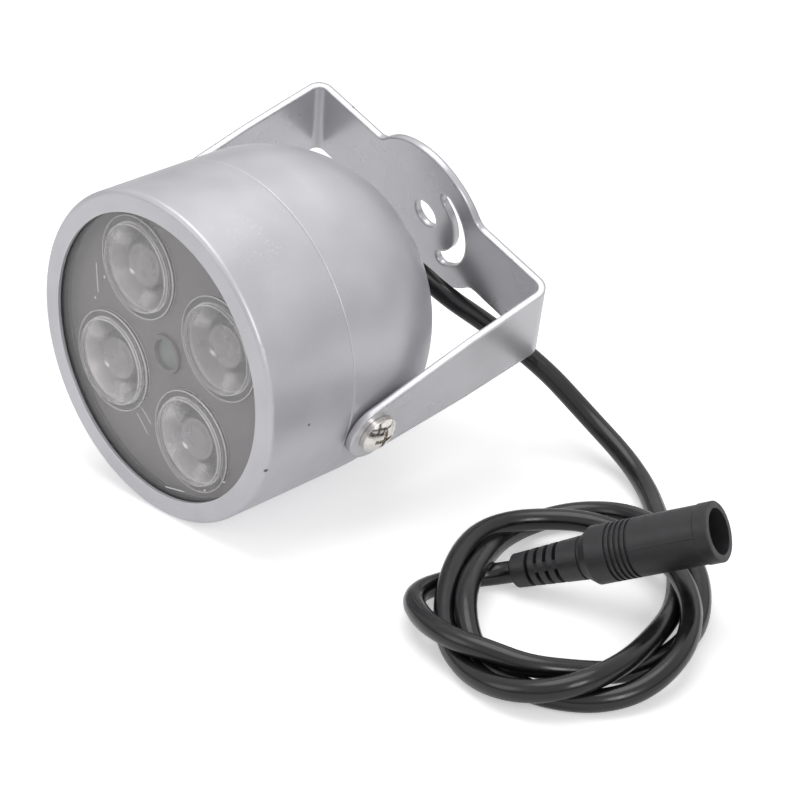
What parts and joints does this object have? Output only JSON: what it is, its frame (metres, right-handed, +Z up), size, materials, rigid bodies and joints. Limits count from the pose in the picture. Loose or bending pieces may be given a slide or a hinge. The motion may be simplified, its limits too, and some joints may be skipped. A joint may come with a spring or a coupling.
{
  "type": "infrared illuminator",
  "caption": "Small round metal lamp head with domed back, infrared lenses behind glass, a tilting U bracket and a coiled lead with an inline power socket.",
  "frame": {"origin": "on the floor under the middle of the box round the lamp head and its bracket, without the lead", "axes": "+Z up from the floor; the lamp looks along -Y; +X on the side of the lower bracket arm and the lead"},
  "size_m": [0.1255, 0.0699, 0.056],
  "materials": {
    "shell_paint": "silver-grey metallic paint with a fine sparkle, satin",
    "bracket_paint": "silver-grey metallic paint, satin",
    "window_glass": "clear polished glass",
    "lens_acrylic": "clear moulded lens, polished",
    "black_rubber": "matt black rubber",
    "mask_plate": "dark grey satin plastic",
    "circuit_board": "green solder mask",
    "white_board": "white solder mask on an aluminium board",
    "cup_plastic": "pale satin moulded plastic",
    "emitter_body": "pale chip carrier with a clear round window",
    "sensor_face": "greenish grey ceramic face",
    "bare_aluminium": "turned aluminium",
    "brass_posts": "plain brass",
    "nickel_screw": "bright nickel plate",
    "ferrite": "dark grey ferrite can",
    "capacitor_sleeve": "dark shrink sleeve",
    "chip_plastic": "black moulded chip",
    "wire_sleeve": "soft plastic sleeve",
    "cord_jacket": "semi-gloss black jacket",
    "socket_plastic": "matt black moulded plastic",
    "contact_metal": "bright plated contacts"
  },
  "bodies": {
    "lamp_head": {"front_shell": "shell_paint", "rear_shell": "shell_paint", "window": "window_glass", "lens_1": "lens_acrylic", "lens_2": "lens_acrylic", "lens_3": "lens_acrylic", "lens_4": "lens_acrylic", "window_gasket": "black_rubber", "shell_seal": "black_rubber", "cable_grommet": "black_rubber", "lens_mask": "mask_plate", "spacer_ring": "mask_plate", "sensor_collar": "mask_plate", "driver_board": "circuit_board", "led_board": "white_board", "lens_cup_1": "cup_plastic", "lens_cup_2": "cup_plastic", "lens_cup_3": "cup_plastic", "lens_cup_4": "cup_plastic", "emitter_1": "emitter_body", "emitter_2": "emitter_body", "emitter_3": "emitter_body", "emitter_4": "emitter_body", "light_sensor": "sensor_face", "heat_sink": "bare_aluminium", "board_posts": "brass_posts", "pivot_screw_near": "nickel_screw", "pivot_screw_far": "nickel_screw", "board_screws": "nickel_screw", "driver_inductor": "ferrite", "driver_capacitor": "capacitor_sleeve", "driver_chip": "chip_plastic", "led_wires": "wire_sleeve", "supply_wires": "wire_sleeve", "cable_tie": "wire_sleeve", "cord_lead": "cord_jacket", "cord_coil": "cord_jacket", "cable_inside": "cord_jacket", "socket_shell": "socket_plastic", "socket_insert": "socket_plastic", "socket_pin": "contact_metal", "socket_contact": "contact_metal"},
    "bracket_arm": {"bracket": "bracket_paint"}
  },
  "joints": [
    {"name": "bracket_tilt", "type": "hinge", "parent": "lamp_head", "child": "bracket_arm", "pos_m": [-0.00191, -0.00861, 0.028], "axis": [0.928, 0, -0.3725], "range_deg": [0, 110]}
  ]
}
